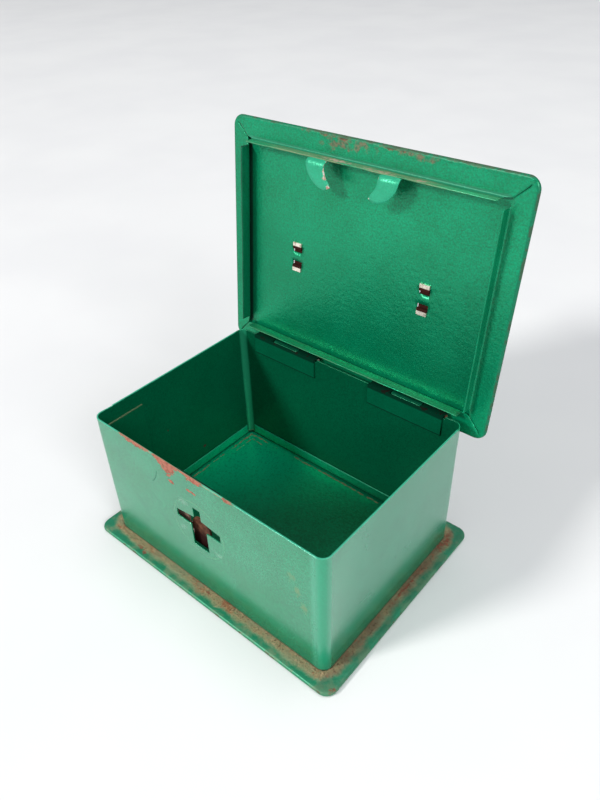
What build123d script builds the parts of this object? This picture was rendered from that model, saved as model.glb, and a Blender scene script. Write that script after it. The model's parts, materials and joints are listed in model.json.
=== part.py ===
"""First aid kit: a small sheet-steel box with a hinged lid, drop handle and sliding lock bolt.

Frame: origin at the centre of the base underside, +Z up, -Y the front, millimetres.
The lid is modelled closed and then turned open about its hinge pins.
"""
import os
from math import cos, radians, sin

from build123d import *

# walls
body_width = 150.0
body_depth = 109.6
wall_height = 78.4
wall = 0.8
wall_corner = 5.0

# the pressed pans: base and lid share one form
sheet = 0.7
hem_height = 2.6
hem_corner = 6.0
skirt_height = 6.1
base_ledge = 8.6
lid_ledge = 9.5
skirt_gap = 0.35
base_skirt_gap = 0.15
rear_skirt_gap = 1.6
mitre_slit = 0.35
mitre_end = 2.6
skirt_corner_cut = 3.1
edge_round = 0.44 * hem_height

# lid hinge
open_angle = 95.3
hinge_spacing = 82.0
hinge_back = 2.4
hinge_drop = 2.4
leaf_width = 45.0
leaf_sheet = 0.9
leaf_plate_height = 11.9
tab_width = 13.0
knuckle_outer = 2.1
knuckle_bore = 1.2
pin_radius = 1.12
pin_overhang = 0.6
pin_chamfer = 0.25
knuckle_gap = 0.5

# drop handle
bracket_spacing = 79.0
bracket_y = 2.6
bracket_width = 5.5
bracket_sheet = 0.9
bracket_leg = 5.4
clinch_length = 2.6
bail_radius = 1.75
bail_clearance = 0.1
bail_half_width = 33.0
bail_reach = 30.0
bail_end = 44.2
bail_eye_bend = 2.8
bail_corner_bend = 8.0
bail_chamfer = 0.4

# lock, centred a little left of the middle
lock_x = -2.2
cross_z = 50.6
claw_root_inner = 15.2
claw_root_outer = 26.7
claw_reach = 13.8
claw_sheet = 0.9
claw_below_skirt = 1.0
claw_foot_gap = 1.2
bolt_travel = 7.0
bolt_sheet = 1.0
bolt_standoff = 2.3
rivet_shank = 1.5
rivet_collar = 2.5
rivet_head = 3.0
rivet_head_sheet = 1.1
rivet_play = 0.1
slot_half = 1.6

rim = hem_height + wall_height
front_inner = -body_depth / 2 + wall
back_inner = body_depth / 2 - wall
back_outer = body_depth / 2
lid_gap = 0.2
lid_under = rim + lid_gap
lid_top = lid_under + hem_height
hinge_y = back_outer + hinge_back
hinge_z = rim - hinge_drop
hinge_axis = Axis((0, hinge_y, hinge_z), (1, 0, 0))

os.makedirs("parts", exist_ok=True)


def opened(part):
    """Turn a lid piece from closed to its open stop."""
    return part.rotate(hinge_axis, -open_angle)


def opened_point(y, z):
    """Where a point of the closed lid stands when the lid is open."""
    turn = radians(-open_angle)
    dy, dz = y - hinge_y, z - hinge_z
    return hinge_y + dy * cos(turn) - dz * sin(turn), hinge_z + dy * sin(turn) + dz * cos(turn)


def save(part, name):
    """Label a finished piece and write it."""
    part.label = name
    export_step(part, f"parts/{name}.step")


def hemmed_pan(ledge, side_gap, front_gap, rear_gap):
    """A pressed pan: bottom sheet, hem folded back as a ledge, and a skirt standing on it.

    The ledge face is at z = 0, the bottom sheet below it and the skirt above it.
    """
    out_x = body_width + 2 * ledge
    out_y = body_depth + 2 * ledge
    skirt_x = body_width / 2 - wall - side_gap
    skirt_front = -body_depth / 2 + wall + front_gap
    skirt_rear = body_depth / 2 - wall - rear_gap
    skirt_mid = (skirt_front + skirt_rear) / 2
    skirt_depth = skirt_rear - skirt_front

    with BuildPart() as pan:
        with BuildSketch(Plane.XY.offset(-hem_height)):
            RectangleRounded(out_x, out_y, hem_corner)
        extrude(amount=hem_height)
        rims = pan.edges().group_by(Axis.Z)
        fillet(rims[0] + rims[-1], edge_round)
        with BuildSketch(Plane.XY.offset(sheet - hem_height)):
            RectangleRounded(out_x - 2 * sheet, out_y - 2 * sheet, hem_corner - sheet)
        extrude(amount=hem_height - 2 * sheet, mode=Mode.SUBTRACT)
        with BuildSketch(Plane.XY.offset(-sheet)):
            with Locations((0, skirt_mid)):
                Rectangle(2 * (skirt_x - sheet), skirt_depth - 2 * sheet)
        extrude(amount=sheet, mode=Mode.SUBTRACT)
        with BuildSketch(Plane.XY.offset(-sheet)):
            for side in (-1, 1):
                with Locations((side * (skirt_x - sheet / 2), skirt_mid)):
                    Rectangle(sheet, skirt_depth - 2 * skirt_corner_cut)
            for y in (skirt_front + sheet / 2, skirt_rear - sheet / 2):
                with Locations((0, y)):
                    Rectangle(2 * (skirt_x - skirt_corner_cut), sheet)
        extrude(amount=sheet + skirt_height)
        # mitred slits where the four hem flaps meet
        for sx in (-1, 1):
            for sy, skirt_y in ((-1, skirt_front), (1, skirt_rear)):
                x0, y0 = sx * (skirt_x - skirt_corner_cut), skirt_y - sy * skirt_corner_cut
                x1, y1 = sx * (out_x / 2 - mitre_end), sy * (out_y / 2 - mitre_end)
                run = Vector(x1 - x0, y1 - y0, 0)
                middle = Plane(origin=((x0 + x1) / 2, (y0 + y1) / 2, -sheet), x_dir=run, z_dir=(0, 0, 1))
                with BuildSketch(middle):
                    Rectangle(run.length, mitre_slit)
                extrude(amount=sheet + skirt_height, mode=Mode.SUBTRACT)
    return pan.part


# ---------------------------------------------------------------- base pan

with BuildPart() as base_plate:
    add(hemmed_pan(base_ledge, base_skirt_gap, base_skirt_gap, base_skirt_gap).moved(
        Location((0, 0, hem_height))))
save(base_plate.part, "base_plate")

# ---------------------------------------------------------------- walls

cross_arm = 14.9
cross_tip_top, cross_tip_bottom = 1.7, -2.9
cross_root_top, cross_root_bottom = 3.5, -3.2
cross_top, cross_top_half = 10.0, 2.4
cross_bottom, cross_bottom_half = -17.0, 5.25
cross_half = [
    (cross_top_half, cross_top),
    (cross_top_half, cross_root_top),
    (cross_arm, cross_tip_top),
    (cross_arm, cross_tip_bottom),
    (cross_bottom_half, cross_root_bottom),
    (cross_bottom_half, cross_bottom),
]
cross_outline = cross_half + [(-x, z) for x, z in reversed(cross_half)]

notch_depth = 1.45
notch_slack = 0.3
notch_open_end = 1.2
lap_length = 24.0
lap_start = 5.2
lap_top_drop = 9.1
lap_base_gap = 0.6

with BuildPart() as body_shell:
    with BuildSketch(Plane.XY.offset(hem_height)):
        RectangleRounded(body_width, body_depth, wall_corner)
        RectangleRounded(body_width - 2 * wall, body_depth - 2 * wall, wall_corner - wall, mode=Mode.SUBTRACT)
    extrude(amount=wall_height)
    # cross-shaped cut-out in the front wall
    front_plane = Plane(origin=(lock_x, -body_depth / 2 - 1, cross_z), x_dir=(1, 0, 0), z_dir=(0, -1, 0))
    with BuildSketch(front_plane):
        Polygon(*cross_outline, align=None)
    extrude(amount=-(wall + 2), mode=Mode.SUBTRACT)
    # notches in the back rim for the hinge tabs
    for hinge_x in (-hinge_spacing / 2, hinge_spacing / 2):
        for side in (-1, 1):
            tab_x = hinge_x + side * (leaf_width - tab_width) / 2
            width = tab_width + 2 * notch_slack + notch_open_end
            with Locations((tab_x + notch_open_end / 2, back_outer - wall / 2, rim - notch_depth / 2)):
                Box(width, wall * 2, notch_depth, mode=Mode.SUBTRACT)
    # the end of the strip, lapped inside the left wall
    lap_bottom = hem_height + skirt_height + lap_base_gap
    lap_height = rim - lap_top_drop - lap_bottom
    with Locations((-body_width / 2 + wall * 1.5, -body_depth / 2 + lap_start + lap_length / 2,
                    lap_bottom + lap_height / 2)):
        Box(wall, lap_length, lap_height)
save(body_shell.part, "body_shell")

# ---------------------------------------------------------------- hinges, body side

for name, hinge_x in (("left", -hinge_spacing / 2), ("right", hinge_spacing / 2)):
    with BuildPart() as body_leaf:
        leaf_top = rim - (hinge_drop - knuckle_outer)
        with Locations((hinge_x, back_inner - leaf_sheet / 2, leaf_top - leaf_plate_height / 2)):
            Box(leaf_width, leaf_sheet, leaf_plate_height)
        for side in (-1, 1):
            tab_x = hinge_x + side * (leaf_width - tab_width) / 2
            tab_run = hinge_y - back_inner + leaf_sheet
            with Locations((tab_x, hinge_y - tab_run / 2, leaf_top - leaf_sheet / 2)):
                Box(tab_width, tab_run, leaf_sheet)
            with BuildSketch(Plane.YZ.offset(tab_x - tab_width / 2)):
                with Locations((hinge_y, hinge_z)):
                    Circle(knuckle_outer)
            extrude(amount=tab_width)
        with BuildSketch(Plane.YZ.offset(hinge_x - leaf_width / 2)):
            with Locations((hinge_y, hinge_z)):
                Circle(knuckle_bore)
        extrude(amount=leaf_width, mode=Mode.SUBTRACT)
    save(body_leaf.part, f"body_hinge_leaf_{name}")

    with BuildPart() as hinge_pin:
        with BuildSketch(Plane.YZ.offset(hinge_x - leaf_width / 2 - pin_overhang)):
            with Locations((hinge_y, hinge_z)):
                Circle(pin_radius)
        extrude(amount=leaf_width + 2 * pin_overhang)
        chamfer(hinge_pin.edges().filter_by(GeomType.CIRCLE), pin_chamfer)
    save(hinge_pin.part, f"hinge_pin_{name}")

# ---------------------------------------------------------------- lid pan

bracket_places = [(side * bracket_spacing / 2, bracket_y) for side in (-1, 1)]
bracket_hole_inner = 2.5
bracket_hole_outer = 5.55
bracket_hole_width = 6.1

with BuildPart() as lid_shell:
    add(hemmed_pan(lid_ledge, skirt_gap, skirt_gap, rear_skirt_gap).mirror(Plane.XY).moved(
        Location((0, 0, lid_under))))
    with BuildSketch(Plane.XY.offset(lid_top + 1)):
        for x, y in bracket_places:
            for side in (-1, 1):
                with Locations((x, y + side * (bracket_hole_inner + bracket_hole_outer) / 2)):
                    Rectangle(bracket_hole_width, bracket_hole_outer - bracket_hole_inner)
    extrude(amount=-(sheet + 1.5), mode=Mode.SUBTRACT)
save(opened(lid_shell.part), "lid_shell")

# ---------------------------------------------------------------- hinges, lid side

stop_gap = 0.03
strap_edge_margin = 1.6
strap_overlap = 0.8
toe_height = 1.2
toe_wall = 0.2
strap_width = leaf_width - 2 * tab_width - 2 * knuckle_gap
strap_end = back_outer + lid_ledge - strap_edge_margin

for name, hinge_x in (("left", -hinge_spacing / 2), ("right", hinge_spacing / 2)):
    with BuildPart() as lid_strap:
        strap_start = hinge_y - strap_overlap
        with Locations((hinge_x, (strap_start + strap_end) / 2, lid_under - leaf_sheet / 2)):
            Box(strap_width, strap_end - strap_start, leaf_sheet)
        with BuildSketch(Plane.YZ.offset(hinge_x - strap_width / 2)):
            with Locations((hinge_y, hinge_z)):
                Circle(knuckle_outer)
        extrude(amount=strap_width)
        with BuildSketch(Plane.YZ.offset(hinge_x - strap_width / 2)):
            with Locations((hinge_y, hinge_z)):
                Circle(knuckle_bore)
        extrude(amount=strap_width, mode=Mode.SUBTRACT)
    opened_strap = opened(lid_strap.part)
    # the curl's end stands proud and meets the back wall when the lid is open
    with BuildPart() as lid_leaf:
        add(opened_strap)
        toe_depth = hinge_back - stop_gap - knuckle_bore - toe_wall
        with Locations((hinge_x, back_outer + stop_gap + toe_depth / 2, hinge_z - toe_height / 2)):
            Box(strap_width, toe_depth, toe_height)
        with BuildSketch(Plane.YZ.offset(hinge_x - strap_width / 2)):
            with Locations((hinge_y, hinge_z)):
                Circle(knuckle_bore)
        extrude(amount=strap_width, mode=Mode.SUBTRACT)
    save(lid_leaf.part, f"lid_hinge_leaf_{name}")

# ---------------------------------------------------------------- claws on the lid

claw_front = front_inner + skirt_gap + sheet
claw_top = lid_under - skirt_height - claw_below_skirt + claw_sheet
claw_foot_top = lid_under - claw_foot_gap
# half outline of a claw: across from the lock's middle, back from the skirt
claw_shoulder = (22.6, 10.2)
claw_tip_outer = (14.4, claw_reach)
claw_tip_end = (11.2, 12.2)
claw_tip_inner = (12.4, 9.6)
claw_inside = (15.0, 5.5)

for name, side in (("left", -1), ("right", 1)):
    def claw_point(across, back):
        return lock_x + side * across, claw_front + back

    with BuildPart() as claw:
        with BuildSketch(Plane.XY.offset(claw_top - claw_sheet)):
            with BuildLine():
                root_inner = claw_point(claw_root_inner, 0)
                root_outer = claw_point(claw_root_outer, 0)
                Line(root_inner, root_outer)
                ThreePointArc(root_outer, claw_point(*claw_shoulder), claw_point(*claw_tip_outer))
                Polyline(claw_point(*claw_tip_outer), claw_point(*claw_tip_end), claw_point(*claw_tip_inner))
                ThreePointArc(claw_point(*claw_tip_inner), claw_point(*claw_inside), root_inner)
            make_face()
        extrude(amount=claw_sheet)
        # foot welded to the inside of the front skirt
        foot_x = lock_x + side * (claw_root_inner + claw_root_outer) / 2
        foot_height = claw_foot_top - claw_top + claw_sheet
        with Locations((foot_x, claw_front + claw_sheet / 2, claw_foot_top - foot_height / 2)):
            Box(claw_root_outer - claw_root_inner, claw_sheet, foot_height)
    save(opened(claw.part), f"lid_catch_{name}")

# ---------------------------------------------------------------- drop handle

loop_bore = bail_radius + bail_clearance
loop_z = lid_top + loop_bore

for name, (x, y) in zip(("left", "right"), bracket_places):
    with BuildPart() as bracket:
        with BuildSketch(Plane.YZ.offset(x - bracket_width / 2)):
            loop_outer = loop_bore + bracket_sheet
            with Locations((y, loop_z)):
                Circle(loop_outer)
            with Locations((y, lid_top + loop_bore / 2)):
                Rectangle(2 * loop_outer, loop_bore)
            with Locations((y, lid_top + bracket_sheet / 2)):
                Rectangle(2 * bracket_leg, bracket_sheet)
            with Locations((y, loop_z)):
                Circle(loop_bore, mode=Mode.SUBTRACT)
            with Locations((y, lid_top + loop_bore / 2)):
                Rectangle(2 * loop_bore, loop_bore, mode=Mode.SUBTRACT)
            with Locations((y, lid_top - loop_outer)):
                Rectangle(4 * bracket_leg, 2 * loop_outer, mode=Mode.SUBTRACT)
            leg_drop = sheet + bracket_sheet
            for side in (-1, 1):
                with Locations((y + side * (bracket_leg - bracket_sheet / 2), lid_top - leg_drop / 2)):
                    Rectangle(bracket_sheet, leg_drop)
                clinch_y = y + side * (bracket_leg + clinch_length / 2)
                with Locations((clinch_y, lid_top - sheet - bracket_sheet / 2)):
                    Rectangle(clinch_length, bracket_sheet)
        extrude(amount=bracket_width)
    save(opened(bracket.part), f"handle_bracket_{name}")

bail_y, bail_z = opened_point(bracket_y, loop_z)
with BuildPart() as handle_bail:
    with BuildLine() as bail_path:
        FilletPolyline(
            (-bail_end, bail_y, bail_z),
            (-bail_half_width, bail_y, bail_z),
            (-bail_half_width, bail_y, bail_z - bail_reach),
            (bail_half_width, bail_y, bail_z - bail_reach),
            (bail_half_width, bail_y, bail_z),
            (bail_end, bail_y, bail_z),
            radius=[bail_eye_bend, bail_corner_bend, bail_corner_bend, bail_eye_bend],
        )
    with BuildSketch(Plane(origin=bail_path.line @ 0, z_dir=bail_path.line % 0)):
        Circle(bail_radius)
    sweep()
    chamfer(handle_bail.edges().filter_by(GeomType.CIRCLE).group_by(Axis.X)[0], bail_chamfer)
    chamfer(handle_bail.edges().filter_by(GeomType.CIRCLE).group_by(Axis.X)[-1], bail_chamfer)
save(handle_bail.part, "handle_bail")

# ---------------------------------------------------------------- lock bolt

bolt_front = front_inner + bolt_standoff
rivet_offset = 10.0
rivet_x = lock_x - rivet_offset
rivet_heights = (38.4, 64.4)
head_gap = 0.3
head_height = 1.6
head_under = claw_top + head_gap
head_top = head_under + head_height
tongue_middle, tongue_half = -2.0, 6.2
arch_height = 44.0
key_hole, key_hole_radius = (-12.2, 48.0), 0.9
# outline of the bolt plate, across from the lock's middle and up, unlocked
plate_outline = [
    (-20.0, 30.8),
    (4.2, 30.8),
    (4.2, 44.3),
    (-8.2, 44.3),
    (-8.2, 42.6),
    (-10.3, 42.6),
    (-10.3, 61.0),
    (7.6, 66.0),
    (7.6, head_under),
    (14.6, head_under),
    (14.6, head_top),
    (-14.4, head_top),
    (-14.4, 72.0),
    (-20.0, 68.0),
]

with BuildPart() as lock_bolt:
    bolt_plane = Plane(origin=(lock_x, bolt_front, 0), x_dir=(1, 0, 0), z_dir=(0, -1, 0))
    with BuildSketch(bolt_plane):
        Polygon(*plate_outline, align=None)
        # arched top of the tongue that the key pushes
        with Locations((tongue_middle, arch_height)):
            Circle(tongue_half)
        # slots that ride on the two rivets
        for height in rivet_heights:
            slot_middle = rivet_x - lock_x - bolt_travel / 2
            with Locations((slot_middle, height)):
                SlotCenterToCenter(bolt_travel, 2 * slot_half, mode=Mode.SUBTRACT)
        # small hole beside the key gap
        with Locations(key_hole):
            Circle(key_hole_radius, mode=Mode.SUBTRACT)
    extrude(amount=-bolt_sheet)
save(lock_bolt.part, "lock_bolt")

# two shouldered studs hold the bolt off the front wall
head_start = bolt_standoff + bolt_sheet + rivet_play
for name, height in zip(("lower", "upper"), rivet_heights):
    with BuildPart() as lock_rivet:
        for radius, start, end in (
            (rivet_collar, 0, bolt_standoff - rivet_play),
            (rivet_shank, 0, head_start),
            (rivet_head, head_start, bolt_standoff + bolt_sheet + rivet_head_sheet),
        ):
            with BuildSketch(Plane.XZ.offset(-(front_inner + start))):
                with Locations((rivet_x, height)):
                    Circle(radius)
            extrude(amount=-(end - start))
    save(lock_rivet.part, f"lock_rivet_{name}")
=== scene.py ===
"""First aid kit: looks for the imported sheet-steel box with open lid, drop handle and lock bolt."""
import json
import math

import bmesh
import bpy
from mathutils import Matrix, Vector, noise
from mathutils.geometry import delaunay_2d_cdt


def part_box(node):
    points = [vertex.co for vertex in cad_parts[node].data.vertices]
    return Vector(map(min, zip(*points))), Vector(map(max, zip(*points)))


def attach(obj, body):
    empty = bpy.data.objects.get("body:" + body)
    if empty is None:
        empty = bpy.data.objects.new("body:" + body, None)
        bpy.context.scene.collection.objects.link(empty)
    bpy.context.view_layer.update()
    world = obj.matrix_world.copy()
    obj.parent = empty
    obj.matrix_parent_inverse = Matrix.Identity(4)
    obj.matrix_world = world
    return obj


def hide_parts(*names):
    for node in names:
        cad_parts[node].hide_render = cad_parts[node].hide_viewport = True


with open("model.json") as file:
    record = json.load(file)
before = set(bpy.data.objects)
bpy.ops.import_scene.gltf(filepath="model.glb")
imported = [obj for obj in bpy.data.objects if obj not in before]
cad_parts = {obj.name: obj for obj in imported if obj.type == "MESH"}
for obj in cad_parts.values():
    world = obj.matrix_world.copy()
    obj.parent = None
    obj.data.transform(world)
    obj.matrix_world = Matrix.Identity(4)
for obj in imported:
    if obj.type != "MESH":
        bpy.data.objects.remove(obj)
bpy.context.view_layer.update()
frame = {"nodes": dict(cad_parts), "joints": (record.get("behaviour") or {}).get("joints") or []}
nodes = frame["nodes"]
scene = bpy.context.scene
MM = 0.001

# ---------------------------------------------------------------- sizes read from the frame

walls_low, walls_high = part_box("body_shell")
_, base_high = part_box("base_plate")
_, lid_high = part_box("lid_shell")
lid_joint = next(j for j in frame["joints"] if j["name"] == "lid_hinge")
HINGE = Vector(lid_joint["pos_m"])
OPEN_ANGLE = math.radians(lid_joint["range_deg"][1])
lid_opened = (Matrix.Translation(HINGE) @ Matrix.Rotation(-OPEN_ANGLE, 4, "X")
              @ Matrix.Translation(-HINGE))

HALF_X, HALF_Y = walls_high.x, walls_high.y
RIM = walls_high.z
HEM = walls_low.z
SKIRT = base_high.z - HEM
WALL = 0.8 * MM
SHEET = 0.7 * MM
WALL_CORNER = 5.0 * MM
HEM_CORNER = 6.0 * MM
BASE_LEDGE = base_high.x - HALF_X
LID_LEDGE = lid_high.x - HALF_X
LID_UNDER = RIM + 0.2 * MM
LOCK_X = -2.2 * MM
CROSS_Z = 50.6 * MM
WELD = 0.002 * MM
TINY = 0.001 * MM


def wave(x, y, z, size, seed=0.0):
    """Smooth noise from -1 to 1 whose bumps are about size across."""
    return noise.noise(Vector((x / size + seed, y / size - seed, z / size + 2 * seed)))


def mesh_object(name, points, faces):
    """A mesh piece from points and faces, welded, faced outwards and smooth-shaded."""
    mesh = bpy.data.meshes.new(name)
    mesh.from_pydata(points, [], faces)
    bm = bmesh.new()
    bm.from_mesh(mesh)
    bmesh.ops.remove_doubles(bm, verts=bm.verts, dist=WELD)
    bmesh.ops.recalc_face_normals(bm, faces=bm.faces)
    bm.to_mesh(mesh)
    bm.free()
    mesh.shade_smooth()
    piece = bpy.data.objects.new(name, mesh)
    scene.collection.objects.link(piece)
    return piece


def rim_faces(side, count, is_open=None):
    """The strip round one side of a sheet and its copy, whose points come count further on.

    An edge stays open where is_open holds for both its ends.
    """
    uses = {}
    for face in side:
        for a, b in zip(face, face[1:] + face[:1]):
            key = (min(a, b), max(a, b))
            uses[key] = uses.get(key, 0) + 1
    rim = [edge for edge, times in uses.items() if times == 1]
    if is_open:
        rim = [(a, b) for a, b in rim if not (is_open(a) and is_open(b))]
    return [(a, b, count + b, count + a) for a, b in rim]


def sheet_faces(triangles, count, is_open=None):
    """Both sides of a triangulated sheet and the rim between them."""
    copy = [tuple(count + i for i in reversed(t)) for t in triangles]
    return [tuple(t) for t in triangles] + copy + rim_faces(triangles, count, is_open)


def soften(piece, width, angle):
    """Round the sharp edges a little and keep flat faces flat."""
    bevel = piece.modifiers.new("soften", "BEVEL")
    bevel.width = width
    bevel.segments = 3
    bevel.limit_method = "ANGLE"
    bevel.angle_limit = math.radians(angle)
    bevel.harden_normals = False
    even = piece.modifiers.new("even", "WEIGHTED_NORMAL")
    even.keep_sharp = False


# ---------------------------------------------------------------- pressed pans

EDGE_ROUND = 0.44 * HEM
BEND = 0.8 * MM
RAW_ROUND = 0.18 * MM
SEAM_HALF = 0.17 * MM
SKIRT_CUT = 3.4 * MM
SEAM_STOP = 2.6 * MM
STEP = 2.4 * MM
CORNER_STEPS = 5


def arc(centre, radius, start, end, steps):
    """Points of an arc as (offset, height), angles in degrees."""
    turn = [math.radians(start + (end - start) * k / steps) for k in range(steps + 1)]
    return [(centre[0] + radius * math.cos(a), centre[1] + radius * math.sin(a)) for a in turn]


def pan_profile():
    """The folded sheet's outline from under the panel to inside it.

    Each point is (share of the ledge's width, offset, height, half seam width or None where
    the corner is closed). Height 0 is the ledge's face.
    """
    under = [(s, 0.0, -HEM, None) for s in (0.0, 0.3, 0.6)]
    outer_edge = arc((-EDGE_ROUND, -HEM + EDGE_ROUND), EDGE_ROUND, -90, 0, 4)
    outer_edge += arc((-EDGE_ROUND, -EDGE_ROUND), EDGE_ROUND, 0, 90, 4)
    outside = under + [(1.0, e, z, None) for e, z in outer_edge]
    inner_round = EDGE_ROUND - SHEET
    inner_edge = arc((-EDGE_ROUND, -EDGE_ROUND), inner_round, 90, 0, 3)
    inner_edge += arc((-EDGE_ROUND, -HEM + EDGE_ROUND), inner_round, 0, -90, 3)
    inside = [(1.0, e, z, None) for e, z in inner_edge]
    inside += [(s, 0.0, -HEM + SHEET, None) for s in (0.6, 0.3, 0.0)]

    ledge = [(1.0, -SEAM_STOP)] + [(s, 0.0) for s in (0.62, 0.46, 0.3, 0.18)]
    top = [(s, e, 0.0, SEAM_HALF) for s, e in ledge]
    below = [(s, e, -SHEET, SEAM_HALF) for s, e in ledge]
    bend_out = arc((BEND, BEND), BEND, -90, -180, 4)
    bend_in = arc((BEND, BEND), BEND + SHEET, -90, -180, 4)
    for k, ((e, z), (f, w)) in enumerate(zip(bend_out, bend_in)):
        cut = SEAM_HALF + (SKIRT_CUT - SEAM_HALF) * min(1.0, k / 2)
        top.append((0.0, e, z, cut))
        below.append((0.0, f, w, cut))
    for z in (BEND + (SKIRT - BEND) * k / 4 for k in range(1, 4)):
        top.append((0.0, 0.0, z, SKIRT_CUT))
        below.append((0.0, -SHEET, z, SKIRT_CUT))
    top += [(0.0, 0.0, SKIRT - RAW_ROUND, SKIRT_CUT), (0.0, -RAW_ROUND, SKIRT, SKIRT_CUT + RAW_ROUND)]
    below += [(0.0, -SHEET, SKIRT - RAW_ROUND, SKIRT_CUT),
              (0.0, -SHEET + RAW_ROUND, SKIRT, SKIRT_CUT + RAW_ROUND)]
    return outside, top, below, inside


def side_samples(half, cuts=()):
    """Even places along a side between its corners, as shares of the half length, through the cuts."""
    reach = half - HEM_CORNER
    count = round(2 * reach / STEP)
    places = [-reach + 2 * reach * k / count for k in range(count + 1)]
    for cut in cuts:
        places = [p for p in places if abs(p - cut) > 0.3 * STEP] + [cut]
    return [p / reach for p in sorted(places)]


def loop_points(level, skirt, ledge, x_shares, y_shares):
    """One closed loop of a pan at a profile level: (x, y) points, and the four seam places."""
    share, offset, _, seam = level
    seam = SEAM_HALF if seam is None else seam
    right = skirt["x"] + share * ledge["x"] + offset
    front = -(skirt["front"] + share * ledge["front"] + offset)
    back = skirt["back"] + share * ledge["back"] + offset
    inward = (1 - share) * ledge["x"] - offset
    radius = max(HEM_CORNER - inward, 0.0)
    half_corner = (HEM_CORNER - radius) + radius * math.pi / 4

    def corner(run):
        """Away from the corner's start, (along the first side, in from it) after a run."""
        straight = HEM_CORNER - radius
        if run <= straight or radius == 0:
            return run, 0.0
        a = (run - straight) / radius
        return straight + radius * math.sin(a), radius * (1 - math.cos(a))

    runs = [(half_corner - seam) * k / CORNER_STEPS for k in range(1, CORNER_STEPS + 1)]
    lead_in = [corner(r) for r in runs]
    points, seams = [], []
    centre = Vector((0.0, (front + back) / 2))
    half_w, half_d = right, (back - front) / 2
    sides = (
        (Vector((0, -1)), Vector((1, 0)), half_d, half_w, x_shares),
        (Vector((1, 0)), Vector((0, 1)), half_w, half_d, y_shares),
        (Vector((0, 1)), Vector((-1, 0)), half_d, half_w, [-s for s in reversed(x_shares)]),
        (Vector((-1, 0)), Vector((0, -1)), half_w, half_d, [-s for s in reversed(y_shares)]),
    )
    for out, along, reach_out, reach_along, shares in sides:
        for s in shares:
            points.append(centre + out * reach_out + along * (s * (reach_along - HEM_CORNER)))
        for a, b in lead_in:
            points.append(centre + out * (reach_out - b) + along * (reach_along - HEM_CORNER + a))
        seams.append(len(points) - 1)
        for a, b in reversed(lead_in):
            points.append(centre + out * (reach_out - HEM_CORNER + a) + along * (reach_along - b))
    return points, seams


def pan(name, ledge_width, side_gap, front_gap, back_gap, holes=(), first_open=0):
    """A pressed pan with hemmed ledge, mitred corners and upright skirt; heights from the ledge.

    The mitre seams are filled up to the profile level first_open.
    """
    skirt = {"x": HALF_X - WALL - side_gap, "front": HALF_Y - WALL - front_gap,
             "back": HALF_Y - WALL - back_gap}
    wall = {"x": HALF_X, "front": HALF_Y, "back": HALF_Y}
    ledge = {way: wall[way] + ledge_width - skirt[way] for way in wall}
    middle_y = (skirt["back"] - skirt["front"]) / 2
    half_y = (skirt["back"] + skirt["front"]) / 2
    x_cuts = sorted({x for h in holes for x in (h[0], h[1])})
    y_cuts = sorted({y - middle_y for h in holes for y in (h[2], h[3])})
    x_shares = side_samples(skirt["x"], x_cuts)
    y_shares = side_samples(half_y, y_cuts)
    points, faces = [], []

    def add_loop(level):
        loop, seams = loop_points(level, skirt, ledge, x_shares, y_shares)
        start = len(points)
        points.extend((p.x, p.y, level[2]) for p in loop)
        return start, len(loop), seams

    def join(a, b, open_corners):
        start_a, count, seams = a
        start_b = b[0]
        for k in range(count):
            if open_corners and k in seams:
                continue
            m = (k + 1) % count
            faces.append((start_a + k, start_a + m, start_b + m, start_b + k))

    rings, tops, belows, insides = [[add_loop(level) for level in part] for part in pan_profile()]
    for a, b in zip(rings, rings[1:] + tops[:1]):
        join(a, b, False)
    for k, (a, b) in enumerate(zip(tops, tops[1:])):
        join(a, b, k >= first_open)
    join(tops[-1], belows[-1], True)
    for k, (a, b) in enumerate(zip(belows, belows[1:])):
        join(b, a, k >= first_open)
    for a, b in zip(belows[:1] + insides, insides):
        join(a, b, False)
    # the cut edges of the sheet at each corner seam
    seams, count = tops[0][2], tops[0][1]
    for seam in seams:
        for place in (seam, (seam + 1) % count):
            for k in range(first_open, len(tops) - 1):
                faces.append((tops[k][0] + place, tops[k + 1][0] + place,
                              belows[k + 1][0] + place, belows[k][0] + place))
        m = (seam + 1) % count
        above, beneath = tops[first_open][0], belows[first_open][0]
        faces.append((above + seam, above + m, beneath + m, beneath + seam))

    # the panel between the skirts, outer and inner face
    def lines(shares, half):
        run = [(HEM_CORNER - SEAM_HALF) * k / CORNER_STEPS for k in range(1, CORNER_STEPS + 1)]
        places = [s * (half - HEM_CORNER) for s in shares]
        tail = [half - HEM_CORNER + r for r in run] + [half]
        return [-p for p in reversed(tail)] + places + tail

    xs, ys = lines(x_shares, skirt["x"]), [middle_y + p for p in lines(y_shares, half_y)]

    def in_hole(x, y):
        return any(h[0] < x < h[1] and h[2] < y < h[3] for h in holes)

    def at_corner(i, j):
        return i in (0, last_i) and j in (0, last_j)

    def on_border(k):
        i, j = divmod(k - start, len(ys))
        return i in (0, last_i) or j in (0, last_j)

    start, last_i, last_j = len(points), len(xs) - 1, len(ys) - 1
    count = len(xs) * len(ys)
    points += [(x, y, z) for z in (-HEM, -HEM + SHEET) for x in xs for y in ys]
    panel = []
    for i in range(last_i):
        for j in range(last_j):
            if in_hole((xs[i] + xs[i + 1]) / 2, (ys[j] + ys[j + 1]) / 2):
                continue
            around = ((i, j), (i + 1, j), (i + 1, j + 1), (i, j + 1))
            panel.append([start + p * len(ys) + q for p, q in around if not at_corner(p, q)])
            faces += [panel[-1], [count + k for k in panel[-1]]]
    faces += rim_faces(panel, count, on_border)
    return mesh_object(name, points, faces), skirt


# ---------------------------------------------------------------- walls

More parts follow.
